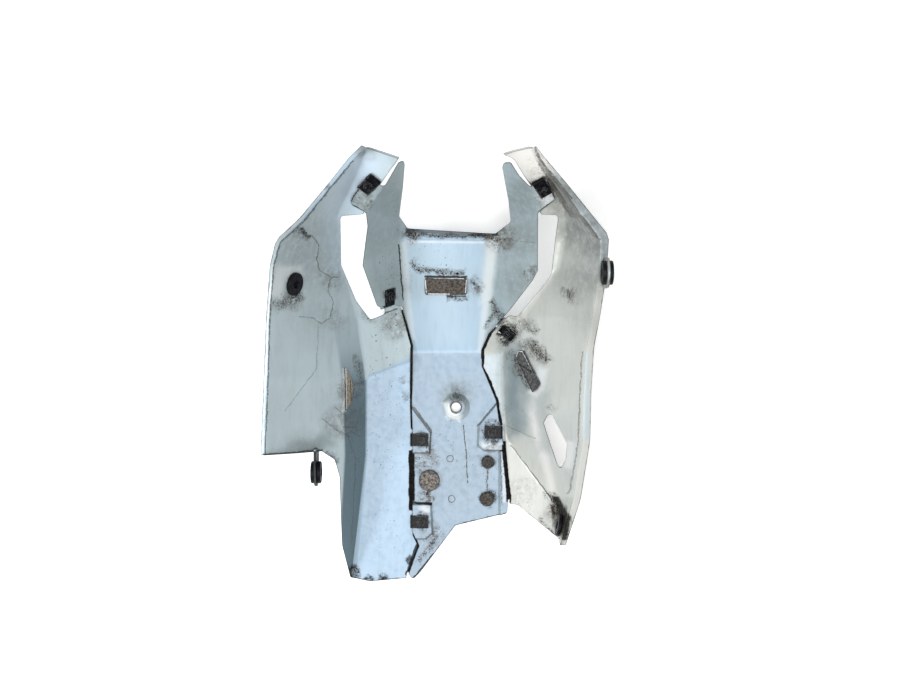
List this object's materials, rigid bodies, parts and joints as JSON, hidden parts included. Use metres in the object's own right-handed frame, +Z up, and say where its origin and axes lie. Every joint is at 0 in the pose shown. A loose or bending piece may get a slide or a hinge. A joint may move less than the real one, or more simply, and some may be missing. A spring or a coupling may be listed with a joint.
{
  "type": "motorcycle skid plate",
  "caption": "Thin moulded belly pan for a motorcycle: a centre keel and two side panels screwed together with clip nuts, rubber-grommet mounts and foam pads inside.",
  "frame": {"origin": "centre of the mounting hole in the floor, on the flat top of its boss", "axes": "+Z up into the plate along the hole's axis, +Y to the front of the machine, +X to its right"},
  "size_m": [0.372, 0.494, 0.2183],
  "materials": {
    "painted_panel": "worn satin paint on moulded plastic",
    "black_steel": "black coated spring steel",
    "grommet_rubber": "dull black rubber",
    "stop_rubber": "dusty dark rubber",
    "worn_stop": "perished, speckled rubber",
    "foam": "dirty open foam",
    "felt": "torn beige felt"
  },
  "bodies": {
    "root": {"left_side_panel": "painted_panel", "right_side_panel": "painted_panel", "centre_panel": "painted_panel", "clip_nuts": "black_steel", "panel_screws": "black_steel", "front_left_grommet": "grommet_rubber", "front_right_grommet": "grommet_rubber", "rear_left_grommet": "grommet_rubber", "rear_right_grommet": "grommet_rubber", "left_round_stop": "worn_stop", "right_front_round_stop": "stop_rubber", "right_rear_round_stop": "stop_rubber", "front_foam_pad": "foam", "flank_foam_pad": "foam", "torn_felt_patch": "felt"}
  },
  "joints": []
}
